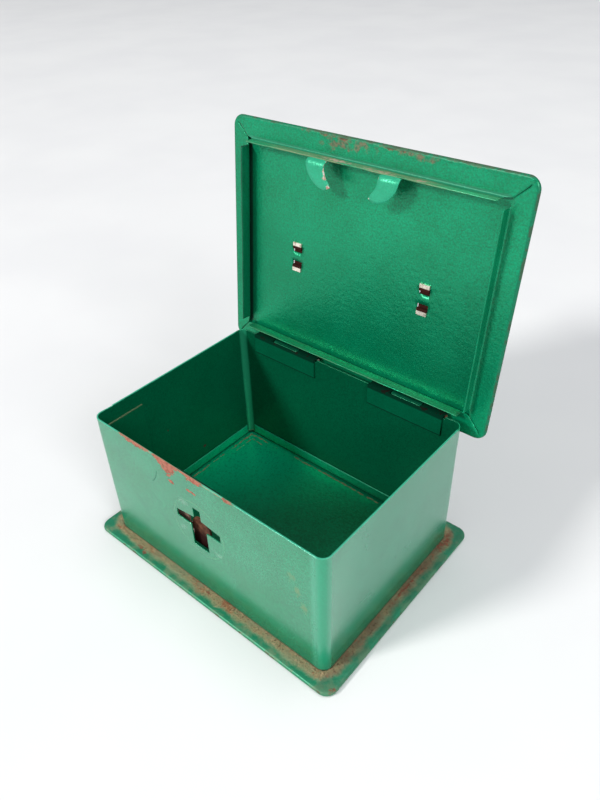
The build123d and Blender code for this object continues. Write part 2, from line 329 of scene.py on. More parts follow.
CROSS_ARM, CROSS_TIP_TOP, CROSS_TIP_LOW = 14.9 * MM, 1.7 * MM, -2.9 * MM
CROSS_ROOT_TOP, CROSS_ROOT_LOW = 3.5 * MM, -3.2 * MM
CROSS_TOP, CROSS_TOP_HALF = 10.0 * MM, 2.4 * MM
CROSS_FOOT, CROSS_FOOT_HALF = -17.0 * MM, 5.25 * MM
CROSS_STEP, CROSS_MARGIN = 1.6 * MM, 0.9 * MM
LAP_EDGE_Y = -42.7 * MM
LAP_START_Y, LAP_END_Y = -49.6 * MM, -25.6 * MM
RIM_STEP, RIM_WEAR = 0.45 * MM, 0.1 * MM
HINGE_SPACING, LEAF_WIDTH, TAB_WIDTH = 82.0 * MM, 45.0 * MM, 13.0 * MM
NOTCH_DEPTH, NOTCH_SLACK, NOTCH_OPEN_END = 1.45 * MM, 0.3 * MM, 1.2 * MM
NOTCH_MARGIN, NOTCH_STEPS = 0.4 * MM, 7
ARC_STEPS = 10
WALL_STEP = 2 * MM
WALL_BULGE, BULGE_FADE = 0.11 * MM, 9 * MM
WALL_ROUND, WALL_ROUND_FROM = 0.2 * MM, 50
RIM_REACH, RIM_MARGIN = 2.2 * MM, 0.7 * MM


def wall_run():
    """The walls' line seen from above, from the lapped end on the left wall round by the front.

    Gives (run, point, outward normal) stations, the whole length, and the run where each leg starts.
    """
    corner_x, corner_y = HALF_X - WALL_CORNER, HALF_Y - WALL_CORNER
    legs = [
        ((-HALF_X, LAP_EDGE_Y), (-HALF_X, -corner_y), (-1, 0)),
        ((-corner_x, -HALF_Y), (corner_x, -HALF_Y), (0, -1)),
        ((HALF_X, -corner_y), (HALF_X, corner_y), (1, 0)),
        ((corner_x, HALF_Y), (-corner_x, HALF_Y), (0, 1)),
        ((-HALF_X, corner_y), (-HALF_X, LAP_EDGE_Y), (-1, 0)),
    ]
    stations, run, starts = [], 0.0, []
    for k, (start, end, out) in enumerate(legs):
        start, end, out = Vector(start), Vector(end), Vector(out)
        starts.append(run)
        length = (end - start).length
        count = max(2, round(length / WALL_STEP))
        for i in range(count + 1):
            stations.append((run + length * i / count, start.lerp(end, i / count), out))
        run += length
        if k == len(legs) - 1:
            break
        centre = end - out * WALL_CORNER
        first = math.atan2(out.y, out.x)
        for i in range(1, ARC_STEPS):
            turn = first + math.pi / 2 * i / ARC_STEPS
            normal = Vector((math.cos(turn), math.sin(turn)))
            stations.append((run + WALL_CORNER * math.pi / 2 * i / ARC_STEPS,
                             centre + normal * WALL_CORNER, normal))
        run += WALL_CORNER * math.pi / 2
    return stations, run, starts


def inside_polygon(x, y, polygon):
    """Whether a point lies inside a closed outline."""
    odd = False
    for (x0, y0), (x1, y1) in zip(polygon, polygon[1:] + polygon[:1]):
        if (y0 > y) != (y1 > y) and x < (x1 - x0) * (y - y0) / (y1 - y0) + x0:
            odd = not odd
    return odd


def evenly(outline, spacing):
    """Points along a closed outline, about spacing apart, its corners included."""
    points = []
    for (x0, y0), (x1, y1) in zip(outline, outline[1:] + outline[:1]):
        steps = max(1, round(math.hypot(x1 - x0, y1 - y0) / spacing))
        points += [(x0 + (x1 - x0) * k / steps, y0 + (y1 - y0) * k / steps) for k in range(steps)]
    return points


def closed_edges(count, start=0):
    """The edges of a closed outline whose points are numbered from start."""
    return [(start + k, start + (k + 1) % count) for k in range(count)]


def add_walls():
    """The folded wall strip: one sheet run round the box, with the cross and the hinge notches."""
    stations, total, starts = wall_run()
    runs = [station[0] for station in stations]
    corner_x = HALF_X - WALL_CORNER
    first_corner = starts[1] - WALL_CORNER * math.pi / 2

    def front_at(x):
        return starts[1] + x + corner_x

    def back_at(x):
        return starts[3] + corner_x - x

    def place(run):
        """Point and outward normal at a run along the strip."""
        for (r0, p0, n0), (r1, p1, n1) in zip(stations, stations[1:]):
            if run <= r1 + 1e-9:
                t = 0.0 if r1 == r0 else (run - r0) / (r1 - r0)
                return p0.lerp(p1, t), n0.lerp(n1, t).normalized()
        return stations[-1][1], stations[-1][2]

    def rim_at(run):
        """The worn rim: the lapped end stands a little low, and the edge dips here and there."""
        if run >= total - TINY:
            return RIM
        step = RIM_STEP * max(0.0, 1 - run / first_corner)
        return RIM - step - RIM_WEAR * max(0.0, wave(run, 0, 0, 9 * MM))

    half = [(CROSS_TOP_HALF, CROSS_TOP), (CROSS_TOP_HALF, CROSS_ROOT_TOP), (CROSS_ARM, CROSS_TIP_TOP),
            (CROSS_ARM, CROSS_TIP_LOW), (CROSS_FOOT_HALF, CROSS_ROOT_LOW), (CROSS_FOOT_HALF, CROSS_FOOT)]
    outline = half + [(-x, z) for x, z in reversed(half)]
    cross = [(front_at(LOCK_X + x), CROSS_Z + z) for x, z in evenly(outline, CROSS_STEP)]
    width = TAB_WIDTH + 2 * NOTCH_SLACK + NOTCH_OPEN_END
    notches = []
    for hinge in (-HINGE_SPACING / 2, HINGE_SPACING / 2):
        for side in (-1, 1):
            middle = hinge + side * (LEAF_WIDTH - TAB_WIDTH) / 2 + NOTCH_OPEN_END / 2
            notches.append((back_at(middle + width / 2), back_at(middle - width / 2)))
    notches.sort()

    rows = round((RIM - HEM) / WALL_STEP)
    heights = [HEM + (RIM - HEM) * k / rows for k in range(1, rows)]
    seam_top = rim_at(0.0)
    rim = [(r, rim_at(r)) for r in runs
           if not any(low - NOTCH_MARGIN < r < high + NOTCH_MARGIN for low, high in notches)]
    # the notches go in one by one, because each of their upright sides has one run for both its ends
    top_line = []
    for q in rim:
        while notches and notches[0][0] < q[0]:
            low, high = notches.pop(0)
            floor = [low + (high - low) * k / NOTCH_STEPS for k in range(NOTCH_STEPS + 1)]
            top_line += [(low, RIM)] + [(r, RIM - NOTCH_DEPTH) for r in floor] + [(high, RIM)]
        top_line.append(q)
    seam = [h for h in heights if h < seam_top - TINY]
    border = [(r, HEM) for r in runs] + [(total, h) for h in seam + [seam_top]]
    border += list(reversed(top_line)) + [(0.0, h) for h in reversed(seam)]
    edges = closed_edges(len(border)) + closed_edges(len(cross), len(border))
    flat = border + cross
    for r in runs[1:-1]:
        limit = min((h for q, h in top_line if abs(q - r) < RIM_REACH), default=RIM) - RIM_MARGIN
        for h in heights:
            if (h <= limit and not inside_polygon(r, h, cross)
                    and all(math.hypot(r - p, h - q) >= CROSS_MARGIN for p, q in cross)):
                flat.append((r, h))
    coords, _, triangles, _, _, _ = delaunay_2d_cdt([Vector(q) for q in flat], edges, [], 1, 1e-7)
    kept = [t for t in triangles
            if not inside_polygon(sum(coords[i].x for i in t) / 3, sum(coords[i].y for i in t) / 3, cross)]

    def on_seam(i):
        run, height = coords[i]
        return (run < TINY or run > total - TINY) and height < seam_top + TINY

    points = []
    for depth in (0.0, WALL):
        for run, height in coords:
            point, out = place(run)
            bulge = (WALL_BULGE * wave(point.x, point.y, height, 36 * MM)
                     * min(1.0, (RIM - height) / BULGE_FADE))
            points.append((*(point + out * (bulge - depth)), height))
    return mesh_object("walls", points, sheet_faces(kept, len(coords), on_seam))


def add_plate(name, low, high, spacing, amount=0.05 * MM):
    """A loose flat sheet between two corners, its faces gridded and a little uneven."""
    counts = [max(1, round((b - a) / spacing)) for a, b in zip(low, high)]
    points, faces, index = [], [], {}

    def vertex(key):
        if key not in index:
            index[key] = len(points)
            p = Vector(a + (b - a) * t / c for a, b, t, c in zip(low, high, key, counts))
            points.append(p + Vector((amount * wave(p.x, p.y, p.z, 8 * MM, 3.0), 0, 0)))
        return index[key]

    for across in range(3):
        u, v = [axis for axis in range(3) if axis != across]
        for level in (0, counts[across]):
            for i in range(counts[u]):
                for j in range(counts[v]):
                    face = []
                    for p, q in ((i, j), (i + 1, j), (i + 1, j + 1), (i, j + 1)):
                        place = {across: level, u: p, v: q}
                        face.append(vertex((place[0], place[1], place[2])))
                    faces.append(face)
    return mesh_object(name, points, faces)


# ---------------------------------------------------------------- materials
#
# The places in the finishes are the part's own millimetres: x to the right, y to the back and z up.
# The walls' outside is at x = 75 and y = 54.8 either way, and their rim at z = 81.

GREEN_DEEP = (0.0, 0.170, 0.066)
GREEN_LIGHT = (0.0, 0.330, 0.155)
PAINTED_SHADE_GREEN = (0.0, 0.105, 0.045)
FADED_AND_SHEEN_GREEN = (0.060, 0.340, 0.225)
RUST_PINK = (0.37, 0.135, 0.090)
RUST_RED = (0.22, 0.065, 0.036)
RUST_DARK = (0.060, 0.022, 0.013)
DIRT_TAN = (0.33, 0.235, 0.120)
DIRT_OLIVE = (0.150, 0.165, 0.082)
STEEL = (0.66, 0.62, 0.56)
DULL = 0.4


class Field:
    """A number that a material works out at each point, with plain arithmetic."""

    def __init__(self, tree, socket):
        self.tree, self.socket = tree, socket

    def math(self, operation, *others):
        node = self.tree.nodes.new("ShaderNodeMath")
        node.operation = operation
        for slot, value in zip(node.inputs, (self, *others)):
            if isinstance(value, Field):
                self.tree.links.new(value.socket, slot)
            else:
                slot.default_value = value
        return Field(self.tree, node.outputs[0])

    def __add__(self, other):
        return self.math("ADD", other)

    def __sub__(self, other):
        return self.math("SUBTRACT", other)

    def __mul__(self, other):
        return self.math("MULTIPLY", other)

    def __neg__(self):
        return self.math("MULTIPLY", -1.0)

    def __abs__(self):
        return self.math("ABSOLUTE")

    def over(self, other):
        """The larger of the two."""
        return self.math("MAXIMUM", other)

    def under(self, other):
        """The smaller of the two."""
        return self.math("MINIMUM", other)

    def power(self, other):
        return self.math("POWER", other)

    def flipped(self):
        """0 where this is 1, and 1 where this is 0."""
        return self * -1.0 + 1.0

    def step(self, start, end):
        """0 at start, 1 at end, smooth between and level beyond."""
        node = self.tree.nodes.new("ShaderNodeMapRange")
        node.interpolation_type = "SMOOTHSTEP"
        self.tree.links.new(self.socket, node.inputs["Value"])
        flip = start > end
        node.inputs["From Min"].default_value = min(start, end)
        node.inputs["From Max"].default_value = max(start, end)
        node.inputs["To Min"].default_value = 1.0 if flip else 0.0
        node.inputs["To Max"].default_value = 0.0 if flip else 1.0
        return Field(self.tree, node.outputs["Result"])


def distance(a, b):
    """How far off a point is, from two fields that say how far along two axes."""
    return (a.power(2.0) + b.power(2.0)).power(0.5)


class Finish:
    """A material built in layers over a base coat, placed by the part's own millimetres.

    Lid pieces are placed by where they are when the lid is closed.
    """

    def __init__(self, name, on_lid=False):
        self.material = bpy.data.materials.new(name)
        self.material.use_nodes = True
        self.tree = self.material.node_tree
        self.tree.nodes.clear()
        new = self.tree.nodes.new
        self.shader = new("ShaderNodeBsdfPrincipled")
        out = new("ShaderNodeOutputMaterial")
        self.tree.links.new(self.shader.outputs[0], out.inputs["Surface"])
        where = new("ShaderNodeTexCoord").outputs["Object"]
        if on_lid:
            turn = new("ShaderNodeMapping")
            turn.inputs["Rotation"].default_value = (OPEN_ANGLE, 0, 0)
            turn.inputs["Location"].default_value = HINGE - Matrix.Rotation(OPEN_ANGLE, 3, "X") @ HINGE
            self.tree.links.new(where, turn.inputs["Vector"])
            where = turn.outputs[0]
        scale = new("ShaderNodeVectorMath")
        scale.operation = "SCALE"
        scale.inputs["Scale"].default_value = 1 / MM
        self.tree.links.new(where, scale.inputs[0])
        self.where = scale.outputs[0]
        split = new("ShaderNodeSeparateXYZ")
        self.tree.links.new(self.where, split.inputs[0])
        self.x, self.y, self.z = (Field(self.tree, split.outputs[k]) for k in range(3))
        self.colour = self.rough = self.metal = self.height = self.coat = None

    def noise(self, size, detail=2.0, stretch=(1, 1, 1), roughness=0.5, seed=0.0):
        """Cloudy noise around 0.5 with bumps about size millimetres across."""
        place = self.tree.nodes.new("ShaderNodeMapping")
        place.inputs["Scale"].default_value = [1 / (size * s) for s in stretch]
        place.inputs["Location"].default_value = (seed, seed * 0.7, -seed)
        self.tree.links.new(self.where, place.inputs["Vector"])
        node = self.tree.nodes.new("ShaderNodeTexNoise")
        node.inputs["Scale"].default_value = 1.0
        node.inputs["Detail"].default_value = detail
        node.inputs["Roughness"].default_value = roughness
        self.tree.links.new(place.outputs[0], node.inputs["Vector"])
        return Field(self.tree, node.outputs[0])

    def blob(self, centre, reach):
        """1 at a centre, 0 on an ellipsoid round it. None ignores that direction."""
        total = None
        for axis, middle, radius in zip((self.x, self.y, self.z), centre, reach):
            if middle is None:
                continue
            term = ((axis - middle) * (1 / radius)).power(2.0)
            total = term if total is None else total + term
        return total.power(0.5).step(1.0, 0.0)

    def blobs(self, *places):
        """The strongest of several blobs, each given as (centre, reach)."""
        found = None
        for centre, reach in places:
            here = self.blob(centre, reach)
            found = here if found is None else found.over(here)
        return found

    def from_walls(self):
        """Millimetres outwards from the walls' outer face, following its rounded corners."""
        radius = WALL_CORNER / MM
        across = (abs(self.x) - (HALF_X / MM - radius)).over(0.0)
        along = (abs(self.y) - (HALF_Y / MM - radius)).over(0.0)
        return distance(across, along) - radius

    def mix(self, a, b, amount):
        """Blend two colours, given as tuples or sockets, by a field."""
        node = self.tree.nodes.new("ShaderNodeMix")
        node.data_type = "RGBA"
        self.tree.links.new(amount.socket, node.inputs[0])
        for slot, value in ((node.inputs[6], a), (node.inputs[7], b)):
            if isinstance(value, tuple):
                slot.default_value = (*value, 1)
            else:
                self.tree.links.new(value, slot)
        return node.outputs[2]

    def blend(self, a, b, amount):
        """Blend two numbers or fields by a field."""
        if isinstance(a, Field):
            return a + (-a + b) * amount
        if isinstance(b, Field):
            return b * amount + (amount * -a + a)
        return amount * (b - a) + a

    def layer(self, colour, rough, metal, amount, lift=0.0):
        """Lay something over what is there: its colour, roughness, metal and height in millimetres."""
        self.colour = self.mix(self.colour, colour, amount)
        self.rough = self.blend(self.rough, rough, amount)
        self.metal = self.blend(self.metal, metal, amount)
        if self.coat is not None and rough > DULL:
            self.coat = self.blend(self.coat, 0.0, amount)
        if lift:
            self.height = self.height + amount * lift

    def done(self):
        """Connect everything to the shader and give the material back."""
        link = self.tree.links.new
        link(self.colour, self.shader.inputs["Base Color"])
        link(self.rough.socket, self.shader.inputs["Roughness"])
        if self.metal is not None:
            link(self.metal.socket, self.shader.inputs["Metallic"])
        if self.coat is not None:
            self.shader.inputs["Coat Roughness"].default_value = self.coat_rough
            self.shader.inputs["Coat IOR"].default_value = 1.6
            if isinstance(self.coat, Field):
                link(self.coat.socket, self.shader.inputs["Coat Weight"])
            else:
                self.shader.inputs["Coat Weight"].default_value = self.coat
        node = self.tree.nodes.new("ShaderNodeBump")
        node.inputs["Strength"].default_value = 1.0
        node.inputs["Distance"].default_value = MM
        link(self.height.socket, node.inputs["Height"])
        link(node.outputs[0], self.shader.inputs["Normal"])
        if self.coat is not None:
            link(node.outputs[0], self.shader.inputs["Coat Normal"])
        return self.material


def enamel(name, on_lid=False, peel=1.0, coat=0.10, coat_rough=0.25):
    """Hammered green stoving enamel: metal flake under a glossy skin with an orange-peel grain.

    A coat of 0 leaves the glossy skin out.
    """
    f = Finish(name, on_lid)
    mottle = f.noise(24.0, 3.0)
    grain = f.noise(1.0, 3.0, roughness=0.6, seed=4.0)
    speckle = f.noise(0.75, 2.0, roughness=0.6, seed=5.5)
    f.colour = f.mix(GREEN_DEEP, GREEN_LIGHT, mottle.step(0.3, 0.7) * 0.30 + grain.step(0.38, 0.62) * 0.35
                     + speckle.step(0.38, 0.62) * 0.35)
    f.rough = f.noise(18.0, 4.0, seed=9.0).step(0.3, 0.75) * 0.10 + 0.30
    f.metal = grain.step(0.3, 0.7) * 0.25 + 0.38
    f.shader.inputs["Specular IOR Level"].default_value = 0.35
    coarse = f.noise(2.1, 1.5, seed=2.0)
    fine = f.noise(0.9, 1.0, seed=7.0)
    f.height = coarse * (0.17 * peel) + fine * (0.060 * peel)
    f.coat = coat or None
    f.coat_rough = coat_rough
    return f


def chipped(f, where, seed=0.0, size=3.2, crisp=0.04, level=0.62):
    """A flake-edged mask: paint gone where `where` is strong, in patches about size across."""
    ragged = f.noise(size, 5.0, roughness=0.62, seed=seed)
    start = level - 0.375
    gone = ((ragged - 0.5) * 1.5 + where * 0.62).step(start, start + crisp * 2)
    return gone * where.step(0.0, 0.08)


def flaked_colour(f, seed=0.0):
    """Salmon primer showing under flaked paint."""
    return f.mix((0.25, 0.080, 0.050), RUST_PINK, f.noise(1.6, 4.0, seed=seed).step(0.36, 0.56))


def wall_finish():
    """Faded, smudged green outside with a flaked front rim and painted light on the corners; the right wall
    paler as a painted sheen, the inside darker as painted shade.
    """
    f = enamel("wall_enamel", peel=0.30, coat_rough=0.24)
    z, y, x = f.z, f.y, f.x
    f.rough = f.noise(18.0, 4.0, seed=9.0).step(0.3, 0.75) * 0.08 + 0.17
    f.height = f.noise(1.0, 2.0, seed=2.0) * 0.020
    front = y.step(-53.9, -54.5)
    right = x.step(74.0, 74.7)
    outer = f.from_walls().step(-0.6, -0.25)
    inner = outer.flipped()
    f.coat = outer * (z.step(9.0, 12.5) * 0.35 + 0.45) * (right * 0.36 + 0.64) + 0.05
    # painted shade: the inner faces darkened, most on the back wall
    f.layer(PAINTED_SHADE_GREEN, 0.36, 0.45, inner * (y.step(40.0, 53.0) * 0.14 + 0.66))
    # the outside has faded in clouds, the right wall paler still as a painted sheen of glare, and it carries
    # cloudy smudges
    cloud = f.noise(22.0, 5.0, roughness=0.55, seed=5.0)
    f.layer(FADED_AND_SHEEN_GREEN, 0.30, 0.10, outer * z.step(9.0, 12.5) * (cloud.step(0.3, 0.7) * 0.12 + right * 0.24))
    smudge = f.noise(13.0, 6.0, roughness=0.66, seed=13.0).step(0.46, 0.72)
    f.layer((0.010, 0.150, 0.090), 0.36, 0.1, outer * smudge * 0.30)
    fleck = f.noise(0.8, 3.0, roughness=0.70, seed=17.0)
    f.layer((0.0, 0.120, 0.062), 0.28, 0.1, outer * fleck.step(0.48, 0.64) * 0.40)
    f.layer((0.110, 0.43, 0.31), 0.28, 0.1, outer * fleck.step(0.48, 0.36) * 0.12)
    f.layer((0.0, 0.040, 0.018), 0.40, 0.3, inner * fleck.step(0.48, 0.62) * 0.4)
    f.layer((0.0, 0.200, 0.095), 0.34, 0.4, inner * fleck.step(0.46, 0.36) * 0.3)
    f.layer((0.0, 0.215, 0.110), 0.22, 0.3, outer * z.step(10.5, 7.0) * 0.6)
    # flaked front rim
    reach = f.blob((-43, None, None), (17, 1, 1)) * 2.2 + f.blob((-19.5, None, None), (11, 1, 1)) * 8.5
    reach = reach + f.blob((-3, None, None), (11, 1, 1)) * 3.6 + f.blob((20, None, None), (12, 1, 1)) * 0.8
    ragged = f.noise(3.4, 6.0, stretch=(1.9, 1, 1), roughness=0.66, seed=3.0) * 13.0 - 6.9
    islands = f.noise(2.6, 5.0, stretch=(1.9, 1, 1), roughness=0.6, seed=66.0).step(0.640, 0.610)
    islands = islands.over((z - 79.6).step(0.0, 1.0))
    lower = f.blobs(((-17, None, 69.5), (6, 1, 2.0)), ((-4, None, 71.2), (7, 1, 1.5)))
    lower = chipped(f, lower * 0.9, seed=68.0, size=3.0, level=0.66)
    rust = (reach + ragged + z - 81.0).step(0.0, 0.35) * reach.step(0.3, 0.8) * islands
    rust = rust.over(lower) * front
    edge = (z + f.noise(2.4, 4.0, seed=10.0) * 2.0).step(81.3, 81.6) * front * abs(x + 16.0).step(42.0, 34.0)
    f.layer(flaked_colour(f, 2.0), 0.85, 0.0, rust.over(edge), lift=-0.08)
    # paint rubbed pale along the rim, and painted light on the front-right corner
    rub = (z + f.noise(1.6, 3.0, seed=8.0) * 1.0).step(80.9, 81.4) * rust.flipped() * y.step(50.0, 48.0)
    f.layer((0.045, 0.43, 0.27), 0.30, 0.1, rub * 0.8)
    # painted light: a lighter band round the curve of the front-right corner
    corner = (x + abs(y)).step(124.6, 126.2) * outer
    f.layer((0.010, 0.30, 0.16), 0.36, 0.1, corner * 0.65)
    # painted highlight: a pale glint line along the front face where it turns into the corner
    glint = abs(x + abs(y) - 124.0).step(3.2, 0.0) * outer * right.flipped()
    f.layer((0.070, 0.42, 0.28), 0.36, 0.1, glint * 0.35)
    # painted highlight down the inside back-left corner
    inner_corner_highlight = (y - x).step(124.4, 125.5) * inner
    f.layer((0.03, 0.42, 0.22), 0.3, 0.3, inner_corner_highlight * 0.6)
    # a thin dark scratch curving down from the worn rim
    hair = abs(distance(x + 43.5, z - 72.5) - 15.5).step(0.5, 0.15)
    hair = hair * f.blob((-30.0, None, 65.5), (6.0, 1, 7.5)).step(0.05, 0.3) * front
    f.layer((0.010, 0.10, 0.06), 0.5, 0.0, hair * 0.75)
    # tan smears on the front's right half
    smear = f.blobs(((56.5, None, 58), (3.4, 1, 6.5)), ((59.8, None, 51), (3.0, 1, 6.0)),
                    ((63.3, None, 42.5), (3.4, 1, 6.5)))
    smear = chipped(f, smear * front, seed=11.0, size=2.6, crisp=0.26, level=0.50)
    f.layer((0.190, 0.260, 0.130), 0.6, 0.0, smear * 0.6)
    # grime creeping up from the foot
    foot = (z + f.noise(3.0, 4.0, seed=12.0) * 2.2).step(4.6, 3.4) * outer
    f.layer(RUST_DARK, 0.8, 0.0, foot * 0.85)
    # the ring where the lock's plate sat, and pale rubbed spots round the cross
    ring = abs(distance(x + 2.5, z - 46.8) - 17.2).step(0.55, 0.15)
    worn = f.noise(5.0, 3.0, seed=14.0).step(0.38, 0.58)
    f.layer((0.17, 0.36, 0.20), 0.45, 0.0, ring * front * worn * 0.32, lift=-0.04)
    pale = f.blobs(((-10.5, None, 61), (7, 1, 4.5)), ((9.5, None, 37), (7, 1, 5)),
                   ((-14, None, 41), (5, 1, 5)))
    pale = chipped(f, pale * front, seed=15.0, size=4.0, crisp=0.34, level=0.56)
    f.layer((0.30, 0.46, 0.38), 0.4, 0.2, pale * 0.45)
    # rust specks on the inside
    speck = f.blobs(((-74, 13.0, 15.5), (3, 2.3, 1.6)), ((-74, -12, 44), (3, 1.0, 0.8)))
    f.layer(RUST_DARK, 0.8, 0.0, speck.step(0.3, 0.6) * inner)
    f.layer(RUST_RED, 0.8, 0.0, (z + f.noise(3.0, 3.0, seed=16.0) * 2.0).step(5.0, 4.0) * inner * 0.4)
    return f.done()


def lap_finish():
    """Green darkened as painted shade, with a dirty line along the lap's top edge."""
    f = enamel("lap_enamel")
    # painted shade, as on the inner walls
    f.layer(PAINTED_SHADE_GREEN, 0.34, 0.45, f.noise(9.0, 3.0, seed=72.0) * 0.2 + 0.52)
    edge = (f.z + f.noise(1.4, 3.0, seed=71.0)).step(71.6, 72.1)
    f.layer((0.20, 0.20, 0.11), 0.5, 0.3, edge * 0.6)
    return f.done()


def base_finish():
    """Green pan with dirt and rust on the ledge; inside, grime in the fold, painted shade and light on the
    floor and a painted highlight on the raw edge.
    """
    f = enamel("base_enamel")
    x, y, z = f.x, f.y, f.z
    gap = f.from_walls()
    ledge = gap.step(-0.5, 0.0) * z.step(0.9, 1.6)
    right = x.step(74.0, 76.0)
    f.layer((0.022, 0.180, 0.100), 0.42, 0.2, ledge * 0.72)
    shade = right * ledge * f.noise(12.0, 4.0, seed=57.0).step(0.3, 0.6)
    f.layer((0.030, 0.085, 0.050), 0.55, 0.05, shade * 0.5)
    wander = f.noise(7.0, 4.0, roughness=0.6, seed=3.0)
    crumbs = f.noise(1.3, 4.0, roughness=0.7, seed=5.0)
    patchy = f.noise(11.0, 4.0, seed=55.0)
    dirt = f.mix(DIRT_OLIVE, DIRT_TAN, crumbs.step(0.34, 0.52))
    dirt = f.mix(dirt, (0.30, 0.125, 0.055), patchy.step(0.50, 0.68))
    dirt = f.mix(dirt, (0.150, 0.090, 0.056), right * patchy.step(0.25, 0.55) * 0.85)
    band = (gap - wander * 5.6 + crumbs * 2.8).step(4.9, 1.3) * ledge
    f.layer(dirt, 0.9, 0.0, band * 0.9, lift=0.14)
    f.height = f.height + crumbs * band * 0.6
    f.layer((0.045, 0.026, 0.015), 0.95, 0.0, crumbs.step(0.52, 0.60) * band * 0.7)
    grains = f.noise(1.7, 4.0, roughness=0.7, seed=58.0)
    f.layer((0.40, 0.285, 0.160), 0.85, 0.0, grains.step(0.56, 0.63) * band * (right * -0.7 + 0.8))
    f.layer((0.27, 0.075, 0.035), 0.9, 0.0, grains.step(0.44, 0.38) * band * patchy.step(0.42, 0.58) * 0.8)
    film = f.noise(9.0, 5.0, roughness=0.65, seed=6.0).step(0.45, 0.62) * ledge
    f.layer((0.180, 0.225, 0.130), 0.7, 0.0, film * (right * -0.25 + 0.55))
    rust = f.blobs(((-51, -59.2, 2.6), (7, 3.0, 3)), ((-47, -60.5, 2.6), (4, 2.4, 3)),
                   ((0, -57, 2.6), (5, 1.6, 3)), ((77, 48, 2.6), (6, 16, 3)),
                   ((82.5, -59, 2.6), (5, 4, 3)), ((77, 8, 2.6), (2.4, 26, 3)))
    rust = chipped(f, rust * ledge, seed=7.0, size=2.4, crisp=0.12, level=0.74)
    f.layer(f.mix(RUST_DARK, RUST_RED, crumbs.step(0.35, 0.55)), 0.9, 0.0, rust * 0.85)
    f.layer(RUST_DARK, 0.95, 0.0, (gap + crumbs * 1.3).step(1.15, 0.65) * ledge * (right * 0.3 + 0.6))
    # the turned edge: paint thinned and dark here and there
    edge = (abs(x) - 82.9).over(abs(y) - 62.7)
    edge = chipped(f, edge.step(-0.2, 0.7) * 0.6, seed=17.0, size=5.0, level=0.84)
    f.layer((0.10, 0.055, 0.030), 0.8, 0.0, edge * 0.7)
    # inside: painted shade towards the front-right, painted light at the back-left, grime in the fold and a
    # painted highlight on the raw edge
    inside = gap.step(0.0, -0.5)
    far = y * 0.6 - x * 0.5
    # painted shade: the floor darker towards the front and right
    f.layer((0.0, 0.070, 0.030), 0.38, 0.45, inside * (far.step(70.0, -20.0) * 0.66 + 0.02))
    # painted light: a bright patch towards the back-left corner
    f.layer((0.0, 0.62, 0.31), 0.30, 0.4, inside * far.step(5.0, 60.0) * 0.95)
    f.coat = f.coat * inside.flipped()
    fleck = f.noise(1.3, 4.0, roughness=0.75, seed=18.0)
    f.layer((0.0, 0.045, 0.020), 0.40, 0.3, inside * fleck.step(0.49, 0.62) * 0.4)
    f.layer((0.0, 0.260, 0.125), 0.34, 0.4, inside * fleck.step(0.46, 0.36) * 0.3)
    fold = (abs(x) - 73.4).over(abs(y) - 53.2) + f.noise(9.0, 4.0, seed=64.0) * 2.4 - 1.2
    near = f.blobs(((-73, 53, 2), (40, 40, 14)), ((-73, -10, 2), (5, 70, 9)), ((0, 53, 2), (90, 5, 9)))
    line = abs(fold + 1.6).step(1.2, 0.2).over(abs(fold + 5.2).step(0.9, 0.1) * 0.75)
    thin = chipped(f, near * inside * line, seed=19.0, size=2.6, crisp=0.14, level=0.60)
    f.layer(f.mix(RUST_RED, DIRT_TAN, crumbs.step(0.40, 0.60)), 0.8, 0.0, thin * 0.7)
    # painted highlight along the skirt's raw top edge
    top = z.step(8.0, 8.5) * inside
    f.layer((0.02, 0.30, 0.16), 0.5, 0.1, top * 0.6)
    return f.done()


